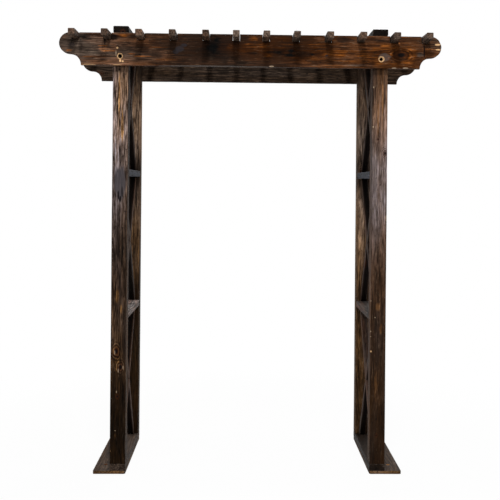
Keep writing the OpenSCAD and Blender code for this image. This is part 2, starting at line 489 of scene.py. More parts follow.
def ring_of(board, radius, checks):
    """The points round a board's section: place, outward direction, side, check and corner share."""
    rows = []
    half = (board.depth / 2, board.width / 2)
    for side in range(4):
        angle = (side - 1) * pi / 2
        out = np.array((cos(angle), sin(angle)))
        run = np.array((-out[1], out[0]))
        reach = half[(side + 1) % 2]
        flat = half[side % 2] - radius
        spots = [(t, -1) for t in np.linspace(-flat, flat, max(2, ceil(2 * flat / POINT_GAP) + 1))]
        for number, check in enumerate(checks):
            if check["side"] == side:
                t, gap = check["place"] * flat, check["gap"]
                spots = [s for s in spots if abs(s[0] - t) > CHECK_CLEAR * gap or abs(s[0]) == flat]
                spots += [(t - gap, -1), (t, number), (t + gap, -1)]
        for t, number in sorted(spots):
            rows.append((*(out * reach + run * t), *out, side, number, 0.0))
        centre = out * (reach - radius) + run * flat
        for step in range(1, ARC_STEPS):
            turn = angle + step / ARC_STEPS * pi / 2
            way = np.array((cos(turn), sin(turn)))
            rows.append((*(centre + way * radius), *way, side, -1, sin(step / ARC_STEPS * pi)))
    return np.array(rows)


def random_checks(rng, count, length, sides=(0, 1, 2, 3)):
    """Drying splits along the grain, each on one side of the board and none in another's way."""
    found = []
    for place in rng.sample([-0.75 + 1.5 * k / count for k in range(count + 1)], count):
        reach = rng.uniform(0.08, 0.35) * min(length, 1.6)
        middle = rng.uniform(0.05, 0.95) * length
        found.append({
            "side": rng.choice(sides), "place": place, "from": middle - reach / 2, "to": middle + reach / 2,
            "depth": rng.uniform(0.003, 0.007), "gap": rng.uniform(0.0008, 0.0015),
        })
    return found


def wave(rng, s, shortest, longest):
    """A smooth random line along the board, between -1 and 1."""
    total = np.zeros_like(s)
    for _ in range(5):
        total += np.sin(s * 2 * pi / rng.uniform(shortest, longest) + rng.uniform(0, 2 * pi))
    return total / 5


def hump(s, middle, half):
    """1 at middle, falling to 0 at half away from it."""
    return np.maximum(0, 1 - ((s - middle) / half) ** 2)


def split_depth(check, s):
    """How deep a split goes at places along the board."""
    share = np.clip((s - check["from"]) / (check["to"] - check["from"]), 0, 1)
    return check["depth"] * np.sin(pi * share) ** 0.6


def loft(board, radius, rng, checks, chips, wear):
    """A board with eased edges as a mesh: its points, its faces and the raw and check values."""
    ring = ring_of(board, radius, checks)
    inner = np.linspace(2 * END_EASE, board.length - 2 * END_EASE, max(2, round(board.length / STATION_GAP)))
    ease = np.array((0, 0.3, 1.0)) * END_EASE
    s = np.concatenate((ease, inner, board.length - ease[::-1]))
    from_end = np.minimum(s, board.length - s)
    inward = END_EASE - np.sqrt(np.maximum(END_EASE**2 - np.maximum(END_EASE - from_end, 0) ** 2, 0))
    sunk = np.repeat(inward[:, None], len(ring), 1)
    raw = np.zeros_like(sunk)
    split = np.zeros_like(sunk)
    for side in range(4):
        on_side = ring[:, 4] == side
        sunk[:, on_side] += FACE_BOW * (1 + wave(rng, s, 0.25, 1.4))[:, None]
        corner = ring[:, 6] * on_side
        rubbed = wear * np.maximum(0, 0.35 + wave(rng, s, 0.06, 0.5))
        sunk += rubbed[:, None] * corner
        deepest = np.zeros_like(s)
        for _ in range(chips):
            middle, half = rng.uniform(0, board.length), rng.uniform(0.008, 0.032)
            bite = hump(s, middle, half) * rng.uniform(0.25, 1.0)
            deepest = np.maximum(deepest, bite)
            raw = np.maximum(raw, bite[:, None] * (corner > 0.5) * rng.choice((0, 0.2, 0.5)))
        sunk += (min(CHIP_DEPTH, 0.9 * radius) * deepest)[:, None] * corner
    for number, check in enumerate(checks):
        deep = split_depth(check, s) * (0.8 + 0.2 * wave(rng, s, 0.03, 0.2))
        at = ring[:, 5] == number
        sunk += np.maximum(deep, 0)[:, None] * at
        split += (deep > OPEN_SPLIT)[:, None] * at
    uv = ring[None, :, :2] - ring[None, :, 2:4] * sunk[:, :, None]
    stations = np.repeat(s[:, None, None], len(ring), 1)
    local = np.concatenate((stations, uv), 2).reshape(-1, 3)
    count, around = len(s), len(ring)
    i, j = np.meshgrid(np.arange(count - 1), np.arange(around), indexing="ij")
    k = (j + 1) % around
    here, there = i * around, (i + 1) * around
    quads = np.stack((here + j, here + k, there + k, there + j), 2).reshape(-1, 4)
    caps = [list(range(around - 1, -1, -1)), list(range((count - 1) * around, count * around))]
    return local, quads.tolist() + caps, raw.ravel(), np.clip(split, 0, 1).ravel()


def set_values(mesh, name, values):
    """One number on each point of a mesh, which the wood's nodes read by name."""
    layer = mesh.attributes.new(name, "FLOAT", "POINT")
    layer.data.foreach_set("value", np.asarray(values, np.float32))


def outline_gap(points, outline):
    """The distance of each point from a closed outline."""
    a = np.array(outline)
    best = np.full(len(points), 9.0)
    for p, q in zip(a, np.roll(a, -1, 0)):
        run = q - p
        t = np.clip(((points - p) @ run) / max(run @ run, 1e-12), 0, 1)
        best = np.minimum(best, np.hypot(*(points - p - t[:, None] * run).T))
    return best


def edge_gap(board, local):
    """The distance of each point from the board's nearest edge."""
    if board.outline:
        return np.maximum(outline_gap(local[:, (0, 2)], board.outline), board.depth / 2 - np.abs(local[:, 1]))
    gaps = np.stack((
        np.minimum(local[:, 0], board.length - local[:, 0]),
        board.depth / 2 - np.abs(local[:, 1]),
        board.width / 2 - np.abs(local[:, 2]),
    ))
    return np.sort(gaps, 0)[1]


def field(board, local, rows):
    """A value on each point from rows along the board: (place across from -1 to 1, places along, values)."""
    share = FULL * local[:, 0] / board.length
    side = np.clip(2 * local[:, 2] / board.width, -1, 1)
    levels = [np.interp(share, places, values) / FULL for _, places, values in rows]
    found = levels[0]
    for (low, *_), (high, *_), level in zip(rows, rows[1:], levels[1:]):
        found = found + (level - found) * np.clip((side - low) / (high - low), 0, 1)
    return found


def even(value):
    """A field with the same value, in hundredths, everywhere."""
    return ((0, (0,), (value,)),)


def lengthwise(places, values):
    """A field that changes along the board only, with its places and values in hundredths."""
    return ((0, places, values),)


def paint(piece, board, tone, warm, shift, sides):
    """Writes what the wood reads on every point; sides multiplies the tone of the two side faces."""
    mesh = piece.data
    points = np.empty(len(mesh.vertices) * 3)
    mesh.vertices.foreach_get("co", points)
    local = board.local(points.reshape(-1, 3))
    layer = mesh.attributes.new("grain", "FLOAT_VECTOR", "POINT")
    layer.data.foreach_set("vector", local.astype(np.float32).ravel())
    outer = np.clip(2 * np.abs(local[:, 1]) / board.depth, 0, 1) ** 12
    set_values(mesh, "tone", field(board, local, tone) * (1 + (sides - 1) * outer))
    set_values(mesh, "warm", field(board, local, warm))
    set_values(mesh, "shift", np.full(len(local), shift))
    set_values(mesh, "edge", np.clip(1 - edge_gap(board, local) / EDGE_REACH, 0, 1))


def timber(node, mesh, material, raw, split):
    """A new piece for a node, whose points know where chips and splits are."""
    set_values(mesh, "raw", raw)
    set_values(mesh, "check", split)
    mesh.materials.append(material)
    return add_object(node + "_timber", mesh)


def put_in_place(piece, node, board, rng, tone, warm, holes=(), sides=1.0):
    """Drills and paints a piece, which takes a CAD node's place and rides on the one body."""
    for hole in holes:
        drill(piece, *hole)
    paint(piece, board, tone, warm, rng.uniform(0, 20), sides)
    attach(piece, "root")
    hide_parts(node)


def lofted(node, board, radius, material, rng, checks, chips, wear=EDGE_WEAR):
    """A new piece for a node: a straight board with its splits and chips."""
    local, faces, raw, split = loft(board, radius, rng, checks, chips, wear)
    mesh = bpy.data.meshes.new(node + "_timber")
    mesh.from_pydata(board.world(local).tolist(), [], faces)
    mesh.polygons.foreach_set("use_smooth", np.array([len(face) == 4 for face in faces]))
    return timber(node, mesh, material, raw, split)


def straight_board(node, axes, material, radius, tone, warm, seed, checks, chips, holes=()):
    """A straight board in the place of its node."""
    rng = random.Random(seed)
    board = board_in(node, axes)
    piece = lofted(node, board, radius, material, rng, random_checks(rng, checks, board.length), chips)
    put_in_place(piece, node, board, rng, tone, warm, holes)


# ---- holes

HOLE_SIDES = 32


def arc(middle, radius, start, turn, steps):
    """Points round a middle, from the angle start over turn."""
    angles = [start + k / steps * turn for k in range(steps + 1)]
    return [(middle[0] + radius * cos(a), middle[1] + radius * sin(a)) for a in angles]


def drill(piece, place, axis, steps):
    """Cuts a round hole: steps are (depth from place along axis, radius, material), outermost first."""
    bm = bmesh.new()
    turn = Vector((0, 0, 1)).rotation_difference(Vector(axis)).to_matrix()
    rings = []
    for depth, radius, _ in steps:
        spots = arc((0, 0), radius, 0, 2 * pi, HOLE_SIDES)[:-1]
        rings.append([bm.verts.new(Vector(place) + turn @ Vector((*spot, depth))) for spot in spots])
    bm.faces.new(rings[0][::-1])
    for level in range(len(rings) - 1):
        for k in range(HOLE_SIDES):
            n = (k + 1) % HOLE_SIDES
            face = bm.faces.new((rings[level][k], rings[level][n], rings[level + 1][n], rings[level + 1][k]))
            face.material_index = level
            face.smooth = True
    bm.faces.new(rings[-1]).material_index = len(rings) - 2
    bmesh.ops.recalc_face_normals(bm, faces=bm.faces)
    mesh = mesh_from(bm, "cutter")
    for _, _, material in steps[:-1]:
        mesh.materials.append(material)
    cut_with(piece, mesh)


def cut_with(piece, mesh):
    """Takes the solid of a cutter's mesh out of a piece."""
    cutter = add_object("cutter", mesh)
    cut = piece.modifiers.new("cut", "BOOLEAN")
    cut.operation = "DIFFERENCE"
    cut.solver = "EXACT"
    cut.material_mode = "TRANSFER"
    cut.object = cutter
    graph = bpy.context.evaluated_depsgraph_get()
    made = bpy.data.meshes.new_from_object(piece.evaluated_get(graph), depsgraph=graph)
    if not made.vertices:
        raise RuntimeError(f"nothing is left of {piece.name}")
    old = piece.data
    piece.modifiers.clear()
    piece.data = made
    bpy.data.meshes.remove(old)
    bpy.data.objects.remove(cutter)
    bpy.data.meshes.remove(mesh)


# ---- beams and base plates

NOSE_R = 0.061
NOTCH_PLAY = 0.0013
RIM = 0.003
PLATE_RIM = 0.002
PLATE_CORNER = 0.012
ROW_GAP = 0.010
ROW_START = 0.004
RIM_WEAR = 0.0010
RIM_CHIP_DEPTH = 0.003
ON_FACE = 1e-4
SHARP_ANGLE = radians(50)
NOSE_SIDES = 28
CORNER_SIDES = 5


def beam_outline(board, rafters):
    """The beam's outline in its own along and across, with a notch for each rafter."""
    half, height = board.length / 2, board.width
    nose_x = half - NOSE_R
    cove_r = height - 2 * NOSE_R
    cove = arc((nose_x, 0), cove_r, pi, -pi, NOSE_SIDES)
    nose = arc((nose_x, height - NOSE_R), NOSE_R, -pi / 2, pi, NOSE_SIDES)
    right = [(nose_x - cove_r, 0)] + cove[1:NOSE_SIDES // 2] + nose
    for low, high in sorted(rafters, reverse=True):
        if (low + high) > 0:
            floor = height - (high - low)
            right += [(high + NOTCH_PLAY, height), (high + NOTCH_PLAY, floor)]
            right += [(low - NOTCH_PLAY, floor), (low - NOTCH_PLAY, height)]
    left = [(-x, z) for x, z in reversed(right)]
    return [(x + half, z - height / 2) for x, z in right + left]


def plate_outline(board):
    """A base plate's outline in its own along and across, with rounded corners."""
    half = board.width / 2
    points = []
    for corner, (along, aside) in enumerate(((1, 1), (0, 1), (0, -1), (1, -1))):
        middle = (along * board.length + (1 - 2 * along) * PLATE_CORNER, aside * (half - PLATE_CORNER))
        points += arc(middle, PLATE_CORNER, corner * pi / 2, pi / 2, CORNER_SIDES)
    return points


def extruded(board, rim, rows):
    """A board sawn to its outline, with its rims rounded and its faces divided into a fine grid."""
    bm = bmesh.new()
    front = [bm.verts.new((x, -board.depth / 2, z)) for x, z in board.outline]
    back = [bm.verts.new((x, board.depth / 2, z)) for x, z in board.outline]
    bm.faces.new(front)
    bm.faces.new(back[::-1])
    for k in range(len(front)):
        n = (k + 1) % len(front)
        bm.faces.new((front[n], front[k], back[k], back[n]))
    bmesh.ops.recalc_face_normals(bm, faces=bm.faces)
    rims = [e for e in bm.edges if abs(e.verts[0].co.y - e.verts[1].co.y) < 1e-6]
    bmesh.ops.bevel(bm, geom=rims, offset=rim, segments=3, profile=0.5, affect="EDGES", clamp_overlap=True)
    columns = np.arange(STATION_GAP / 2, board.length, STATION_GAP)
    layers = np.array((-0.25, 0, 0.25)) * board.depth
    for axis, places in ((2, rows), (0, columns), (1, layers)):
        normal = [float(axis == k) for k in range(3)]
        for at in places:
            geom = bm.verts[:] + bm.edges[:] + bm.faces[:]
            spot = [at * n for n in normal]
            bmesh.ops.bisect_plane(bm, geom=geom, dist=2e-5, plane_co=spot, plane_no=normal)
    bm.normal_update()
    return bm


def worn_outline(board, rim, rng, local, rim_gap, chips, checks, bites):
    """How deep each point of a sawn board is worn in, and the raw and check values."""
    x, y, z = local.T
    on_rim = np.clip(1 - rim_gap / (1.2 * rim), 0, 1)
    sunk = 0.0002 * (1 + wave(rng, x, 0.3, 1.5)) * (1 + wave(rng, z, 0.08, 0.3))
    sunk += on_rim * RIM_WEAR * np.maximum(0, 0.3 + wave(rng, x, 0.05, 0.5))
    raw = np.zeros_like(sunk)
    for _ in range(chips):
        middle, half, low = rng.uniform(0, board.length), rng.uniform(0.010, 0.035), rng.random() < 0.7
        bite = hump(x, middle, half) * rng.uniform(0.3, 1.0) * on_rim
        bite *= (z < 0) if low else (z > 0)
        sunk += RIM_CHIP_DEPTH * bite
        raw = np.maximum(raw, bite * rng.choice((0, 0, 0.3)))
    for along, across, size, depth in bites:
        bite = hump(np.hypot(x - along, z - across), 0, size)
        sunk += depth * bite * (y < -board.depth / 4)
    split = np.zeros_like(sunk)
    for check in checks:
        on_face = np.abs(y - check["face"] * board.depth / 2) < ON_FACE
        deep = split_depth(check, x) * on_face * (np.abs(z - check["height"]) < ON_FACE)
        sunk += deep
        split = np.maximum(split, deep > OPEN_SPLIT)
    return sunk, raw, split


def shaped_board(node, board, rim, material, seed, tone, warm, chips, holes, checks=(), bites=()):
    """A board sawn to its outline, worn, chipped and split."""
    rng = random.Random(seed)
    rows = list(np.arange(-board.width / 2 + ROW_START, board.width / 2, ROW_GAP))
    for check in checks:
        at, gap = check["height"], check["gap"]
        rows = [r for r in rows if abs(r - at) > CHECK_CLEAR * gap] + [at - gap, at, at + gap]
    bm = extruded(board, rim, rows)
    local = np.array([v.co for v in bm.verts])
    normals = np.array([v.normal for v in bm.verts])
    gaps = edge_gap(board, local)
    sunk, raw, split = worn_outline(board, rim, rng, local, gaps, chips, checks, bites)
    for vert, spot in zip(bm.verts, board.world(local - normals * sunk[:, None])):
        vert.co = spot
    for face in bm.faces:
        face.smooth = True
    mesh = mesh_from(bm, node + "_timber")
    mesh.set_sharp_from_angle(angle=SHARP_ANGLE)
    piece = timber(node, mesh, material, raw, split)
    put_in_place(piece, node, board, rng, tone, warm, holes)


# ---- braces

LAP_PLAY = 0.0003
BRACE_EDGE_R = 0.0015
BRACE_WEAR = 0.0004
# the bars' two side faces are lighter grey: a painted reflection of the white surroundings seen at a glancing
# angle
BRACE_SIDE_SHEEN_TONE = 45


def brace_board(node, slope):
    """The square bar of a cross that runs from corner to corner of its bay, and past both."""
    low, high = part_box(node)
    run = Vector((0, high.y - low.y, slope * (high.z - low.z)))
    along = run.normalized()
    through = Vector((1, 0, 0))
    side = high.x - low.x
    start = Vector(((low.x + high.x) / 2, low.y, low.z if slope > 0 else high.z)) - along * side
    return Board(start, (along, through, along.cross(through)), run.length + 2 * side, side, side)


def trim(piece, place, normal):
    """Cuts off what lies beyond a plane and closes the cut."""
    bm = bmesh.new()
    bm.from_mesh(piece.data)
    geom = bm.verts[:] + bm.edges[:] + bm.faces[:]
    made = bmesh.ops.bisect_plane(bm, geom=geom, dist=1e-6, plane_co=place, plane_no=normal, clear_outer=True)
    edges = [e for e in made["geom_cut"] if isinstance(e, bmesh.types.BMEdge)]
    bmesh.ops.holes_fill(bm, edges=edges)
    bm.to_mesh(piece.data)
    bm.free()


def lap_cutter(board, other, side):
    """The half of a bar's thickness on one side that its half lap loses to the other bar."""
    half = board.width / 2 + LAP_PLAY
    middle = board.world(np.array((board.length / 2, 0, 0)))
    points = []
    for along in (-2, 2):
        for across in (-half, half):
            for out in (0, 2 * side * board.depth):
                spot = middle + other.axes[0] * along * board.depth + other.axes[2] * across
                points.append(spot + np.array((out, 0, 0)))
    bm = bmesh.new()
    bmesh.ops.convex_hull(bm, input=[bm.verts.new(point) for point in points])
    bmesh.ops.recalc_face_normals(bm, faces=bm.faces)
    return mesh_from(bm, "lap")


def brace(node, slope, inward, material, seed, tone):
    """One bar of a cross, trimmed and half-lapped: the falling one keeps the walkway's half."""
    rng = random.Random(seed)
    low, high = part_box(node)
    board = brace_board(node, slope)
    checks = random_checks(rng, 2, board.length, (1, 3))
    piece = lofted(node, board, BRACE_EDGE_R, material, rng, checks, 3, BRACE_WEAR)
    cut_with(piece, lap_cutter(board, brace_board(node, -slope), slope * inward))
    for corner, sign in ((low, -1), (high, 1)):
        trim(piece, corner, (0, sign, 0))
        trim(piece, corner, (0, 0, sign))
    # the side faces' lighter tone is a painted reflection
    put_in_place(piece, node, board, rng, even(tone), even(30), sides=BRACE_SIDE_SHEEN_TONE / tone)


# ---- the arbor

# the front beam's tone and warmth along it, at its underside, its middle and its top, all in hundredths
BEAM_PLACES = (0, 6, 15, 24, 33, 37, 43, 48, 54, 58, 65, 73, 85, 93, 100)
BEAM_TONE = (
    (-0.8, (42, 43, 45, 28, 22, 23, 20, 22, 20, 22, 33, 36, 27, 28, 36)),
    (0, (40, 27, 26, 24, 13, 6, 8, 18, 20, 10, 18, 34, 26, 29, 37)),
    (0.8, (34, 45, 47, 26, 20, 17, 14, 16, 19, 15, 19, 28, 32, 26, 34)),
)
BEAM_WARM = (
    (-0.8, (20, 20, 30, 40, 40, 40, 40, 50, 50, 50, 60, 70, 80, 80, 40)),
    (0, (10, 0, 20, 40, 40, 40, 50, 90, 100, 90, 100, 100, 100, 90, 40)),
    (0.8, (10, 0, 30, 60, 60, 60, 60, 70, 80, 70, 70, 70, 70, 70, 40)),
)
BACK_BEAM_TONE = lengthwise((0, 30, 100), (31, 25, 24))

# shades on the front beam's face: along it, above its middle and half sizes in millimetres, and how much
# lighter and warmer the wood is there in hundredths
BEAM_SHADES = (
    (64, 37, 23, 42, -6, -60), (121, 15, 11, 48, -7, -60), (90, 18, 24, 10, 10, -10),
    # the rows along 143, 305 and 420 near the top are painted shadows of the rafters beside them
    (143, 67, 26, 18, -36, 0), (305, 66, 24, 18, -34, 0), (420, 70, 24, 14, -18, 0),
    (250, -8, 32, 18, 30, 40), (310, 5, 25, 20, 9, 20), (480, 0, 30, 28, -12, 10), (615, -34, 35, 34, 11, 10),
    (685, -66, 30, 12, -8, 0), (835, 65, 20, 14, 6, 0), (890, 65, 20, 14, -8, 0), (965, 20, 22, 14, 8, 20),
    (965, -62, 25, 14, 14, 10), (58, -11, 17, 6, 15, 100), (185, 80, 67, 12, -15, 40),
    (353, 77, 51, 13, -10, 40), (367, 74, 20, 7, 25, 80), (285, -12, 60, 2.5, 22, 90),
    (251, 17, 30, 2, 30, 90), (194, -47, 80, 5, 0, 70), (470, -40, 50, 3, 20, 110), (407, -27, 30, 3, 12, 80),
    (560, 12, 70, 2, 14, 70), (610, -58, 80, 2, 16, 50), (866, 22, 48, 65, -10, 0),
    (1037, -69, 24, 12, -9, 0), (1100, 68, 32, 14, 20, 50), (1092, -15, 40, 10, -12, 0),
    (1132, 23, 93, 16, 12, 50), (1180, -28, 23, 11, 10, 50), (1274, 66, 65, 12, 2, 30),
    (1290, 38, 200, 2, 16, 30), (1260, 20, 34, 7, 14, 20), (1220, -8, 51, 14, -12, 0),
    (1311, 1, 17, 11, -12, 0), (1303, -26, 30, 14, -14, 0), (1375, -23, 65, 20, -16, 10),
    (1438, -5, 20, 6, 8, 50), (1464, -15, 45, 10, -14, 0), (1466, 73, 31, 7, 25, -30),
    (1498, -17, 28, 8, 6, 50), (1605, 68, 32, 18, -14, -20), (1580, -19, 42, 16, 3, 80),
    (1719, -23, 57, 6, 14, 50), (1765, 36, 55, 7, -14, 0), (1770, -64, 24, 12, -12, 0),
    (1843, 74, 22, 10, 14, -20), (1843, 35, 24, 6, 24, 20), (1801, 3, 48, 3, -25, 0),
    (1679, -76, 85, 6, 16, -60), (1928, -16, 51, 26, -14, 20), (1996, -22, 26, 18, 6, 120),
    (1985, 12, 35, 14, 26, 0), (1860, 6, 40, 14, 12, 20), (1785, -34, 34, 34, -4, 10),
    (1968, -58, 34, 7, 20, 30), (1877, -10, 7, 6, 30, 60), (1866, -33, 7, 6, 25, 60),
    (1925, 52, 7, 6, 35, 10), (2098, 20, 34, 5, 28, 20), (2042, -12, 23, 14, 10, -100),
)

# stains over the wood: along, above its middle and half sizes in millimetres, paint and strength
BEAM_STAINS = (
    (72, 20, 18, 12, SLATE, 0.5), (95, 55, 14, 3, CREAM, 0.4), (658, -12, 18, 13, SLATE, 0.7),
    (680, 6, 26, 17, SLATE, 0.75), (702, 26, 20, 11, SLATE, 0.75), (1512, -24, 9, 5, SLATE, 1),
    (345, -66, 6, 9, BARE, 1), (359, -70, 6, 5, BARE, 0.9), (328, 6, 6, 6, BARE, 0.6),
    (321, -25, 4, 17, CREAM, 0.5), (1842, -30, 34, 24, ASH, 0.35), (2146, 47, 18, 6, BARE, 1),
    (2148, 18, 15, 4, BARE, 1), (2069, 6, 4, 37, SOOT, 0.9), (258, 43, 4, 22, SOOT, 0.9),
    (169, -90, 42, 4, BARE, 0.4), (329, -90, 28, 4, BARE, 0.4), (860, -91, 340, 3, ASH, 0.7),
    (1199, -89, 14, 4, CREAM, 0.9), (1897, -90, 14, 4, CREAM, 0.9), (1962, -89, 17, 4, CREAM, 0.9),
)

# knots: along, above its middle and half width in millimetres
BEAM_KNOTS = ((1937, -16, 17),)
# chipped spots on its face: along, above its middle, size and depth in metres
BEAM_BITES = ((2.152, 0.053, 0.016, 0.004), (2.158, 0.024, 0.012, 0.003))

# a front post's tone and warmth upwards in hundredths, at places from its left edge, -1, to its right edge, 1
# the rows at the walkway's edge, 1 on the left post and -1 on the right, colour the inboard face; where it is
# lighter than the front face beside it, that is a painted reflection
POST_TONE = {
    "left": (
        (-1, (0, 9, 14, 22, 30, 45, 52, 58, 63, 66, 73, 78, 85, 88, 92, 100),
             (10, 6, 9, 28, 29, 32, 34, 36, 60, 48, 48, 78, 80, 76, 46, 30)),
        (0.93, (0, 14, 22, 30, 36, 45, 52, 58, 66, 73, 78, 82, 88, 95, 100),
               (10, 8, 22, 18, 18, 25, 26, 34, 42, 51, 60, 62, 50, 42, 34)),
        (1, (0, 14, 22, 40, 58, 70, 100), (15, 27, 33, 36, 28, 16, 13)),
    ),
    "right": (
        (-1, (0, 30, 42, 60, 72, 77, 82, 100), (32, 38, 50, 42, 58, 42, 32, 24)),
        (-0.93, (0, 20, 30, 45, 50, 56, 60, 69, 78, 83, 87, 92, 100),
                (15, 23, 24, 28, 42, 53, 50, 53, 53, 47, 33, 28, 26)),
        (1, (0, 20, 30, 45, 54, 64, 69, 74, 84, 90, 100), (17, 25, 25, 38, 60, 60, 76, 63, 61, 42, 32)),
    ),
}
POST_WARM = {
    "left": (
        (-1, (0, 25, 50, 65, 85, 100), (100, 70, 35, -10, 10, 20)),
        (0, (0, 25, 50, 60, 75, 90, 100), (100, 80, 35, 10, 40, 60, 60)),
        (1, (0, 25, 50, 65, 85, 100), (90, 60, 30, 20, 40, 40)),
    ),
    "right": (
        (-1, (0, 40, 60, 70, 82, 100), (80, 60, 10, 10, 40, 60)),
        (1, (0, 40, 60, 70, 82, 100), (80, 60, 10, 10, 60, 80)),
    ),
}
POST_TINT = {"left": OLIVE, "right": RUSSET}
POST_CONTRAST = {"left": 1.3, "right": 0.75}
# a back post's tone upwards in hundredths, with painted shade where it is darker under the beam at its top
# and just under the upper rail
BACK_POST_TONE_AND_SHADE = {
    "left": lengthwise((0, 15, 30, 37, 44, 60, 64, 69, 74, 80, 85, 89, 94, 100),
                       (13, 18, 19, 15, 28, 46, 36, 30, 64, 70, 60, 47, 22, 18)),
    "right": lengthwise((0, 12, 22, 37, 45, 53, 61, 65, 70, 74, 78, 82, 90, 95, 100),
                        (25, 31, 37, 32, 42, 57, 64, 34, 36, 60, 62, 45, 42, 26, 22)),
}
BACK_POST_WARM = lengthwise((0, 40, 60, 100), (100, 70, 30, 35))

# shades, stains and knots on the front posts' faces, as on the beam: up from the sole, then to the right
POST_SHADES = {
    "left": (
        (2100, -6, 120, 5, 22, 80), (1920, 12, 100, 6, 18, 90), (1780, -24, 120, 3, 20, -20),
        (1720, -10, 100, 2, 20, -20), (1300, -10, 100, 8, -18, 0), (1220, 16, 100, 8, -16, 0),
        (950, -8, 40, 10, 16, 70), (880, 14, 30, 8, 18, 70), (600, -10, 60, 20, 10, 50),
        (160, -12, 20, 8, 20, 90),
    ),
    "right": (
        (2080, 15, 120, 6, 15, 70), (1950, -10, 100, 5, -15, 50), (1500, 30, 140, 6, 15, 0),
        (1250, -6, 100, 10, -16, 0), (900, -2, 25, 12, 18, 80), (770, 16, 30, 8, 18, 80),
        (450, -10, 80, 10, 8, 50),
    ),
}
POST_STAINS = {
    "left": (
        (2243, -9, 8, 5, SOOT, 1), (2055, -25, 22, 3, SOOT, 0.8), (2030, -17, 20, 3, SOOT, 0.8),
        (1600, 2, 100, 34, WEATHERED, 0.85), (1528, -8, 30, 5, SOOT, 1), (1506, 3, 20, 6, SOOT, 1),
        (1548, 14, 30, 4, SOOT, 0.8), (190, -14, 3, 3, CREAM, 0.9), (633, -20, 14, 3, CREAM, 0.6),
        (531, 1, 12, 3, CREAM, 0.6), (548, 28, 12, 3, CREAM, 0.6), (410, -8, 8, 3, CREAM, 0.6),
    ),
    "right": (
        (935, -43, 4, 3, CREAM, 0.9), (760, -43, 4, 3, CREAM, 0.9), (731, -43, 3, 3, CREAM, 0.8),
        (646, -41, 5, 5, BARE, 0.9), (840, -18, 4, 3, CREAM, 0.8), (1932, -38, 6, 4, CREAM, 1),
        (2158, -38, 5, 3, CREAM, 0.7), (1410, 41, 20, 4, CREAM, 0.8),
    ),
}
POST_KNOTS = {
    "left": ((640, -12, 14), (550, 12, 12), (385, -4, 8)),
    "right": ((1780, 31, 9), (1860, -8, 5), (165, -6, 6)),
}

# the crosses' bars are near black: a dark stain together with painted shade on their undersides
BRACE_STAIN_AND_SHADE_TONE = 4
RUBBED_BRACE_TONE = 32
RUBBED_BRACE = "right_lower_brace_rising"
SOLE_TONE = {"left": lengthwise((0, 100), (30, 33)), "right": lengthwise((0, 20, 100), (13, 16, 14))}
PLATE_TONE = {"left": even(43), "right": lengthwise((0, 0.6), (50, 34))}
PLATE_WARM = lengthwise((0, 1), (80, 35))
RAFTER_TIP = {"left": (41, 32, 46, 37, 37, 52), "right": (46, 39, 44, 39, 37, 44)}

# the right lower rail has a light edge towards the walkway, a painted reflection on its inboard face, the
# left one dark marks across its top
LOWER_RAIL_TONE = {"left": even(62), "right": ((-1, (0,), (44,)), (-0.9, (0,), (33,)))}
RAIL_STAINS = (
    (370, 12, 22, 30, SOOT, 0.8), (235, 16, 16, 26, SOOT, 0.7), (140, 10, 20, 30, SOOT, 0.8),
    (520, 0, 20, 20, SOOT, 0.6),
)

FRONT_FACE = -0.019
POST_FACE = 0.0445
RAIL_FACE = 0.019
BOLT_RISE = 0.052
BOLT_R = 0.0065
BOLT_START, BOLT_END = -0.004, 0.1
SINK_START, SINK_END = -0.001, 0.06
SINK_BARE_R = 0.0185
SINK_DEPTH = 0.010
SINK_DARK_R = {"left": 0.0115, "right": 0.0095}
ANCHOR_R = 0.010
ANCHOR_START, ANCHOR_END = -0.004, 0.05
ANCHOR_FROM_END = 0.122
ANCHOR_FROM_EDGE = 0.057

# each kind of board in a side frame draws from seeds of its own
POST_SEED, FLAT_SEED, PLATE_SEED, RAFTER_SEED, BRACE_SEED = 0, 10, 20, 30, 40
SIDE_SEED, SIDE_SEED_STEP = 300, 100
BEAM_SEED = 600


def beam_rows(rows):
    """A field from the rows of values at the beam's places."""
    return tuple((side, BEAM_PLACES, values) for side, values in rows)


def build_materials():
    """Every material by its name."""
    looks = {
        "front_beam": wood(0.85, face=FRONT_FACE, shades=BEAM_SHADES, stains=BEAM_STAINS, knots=BEAM_KNOTS),
        "back_beam": wood(1.1, warm_tint=OLIVE),
        "back_post": wood(1.1, warm_tint=OLIVE),
        "rafter": wood(0.9),
        "brace": wood(0.8, 0.1, cool=GREY),
        # the upper rail's blue-grey is a painted reflection
        "upper_rail": wood(1.0, 0.1, cool=BLUE_GREY_SHEEN, warm_tint=BLUE_GREY_SHEEN),
        "left_rail": wood(1.0, 0.1, cool=GREY, face=RAIL_FACE, stains=RAIL_STAINS),
        "right_rail": wood(0.8, 0.2, cool=GREY),
        "plate": wood(0.9, warm_tint=OLIVE),
        "left_sole": wood(0.9, warm_tint=OLIVE),
        "right_sole": wood(0.9, 0.05, warm_tint=OLIVE),
        "bare": drilled(BARE),
        "bore": drilled((0.010, 0.006, 0.004)),
        "left_anchor": drilled((0.150, 0.055, 0.018)),
        "right_anchor": drilled((0.50, 0.24, 0.09)),
    }
    for side, _ in SIDES:
        looks[side + "_post"] = wood(
            POST_CONTRAST[side], cool=FADED, warm_tint=POST_TINT[side], face=POST_FACE,
            shades=POST_SHADES[side], stains=POST_STAINS[side], knots=POST_KNOTS[side])
    for name, look in looks.items():
        look.name = name + "_wood"
    return looks


def bolt_hole(side, end, sign, node, steps):
    """A bolt's hole into the outer face of a post or of the beam on it, both in one line."""
    low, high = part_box(node)
    post_low, post_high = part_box(f"{side}_{end}_post")
    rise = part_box(f"{end}_beam")[0].z + BOLT_RISE
    spot = ((post_low.x + post_high.x) / 2, low.y if sign < 0 else high.y, rise)
    return spot, (0, -sign, 0), steps


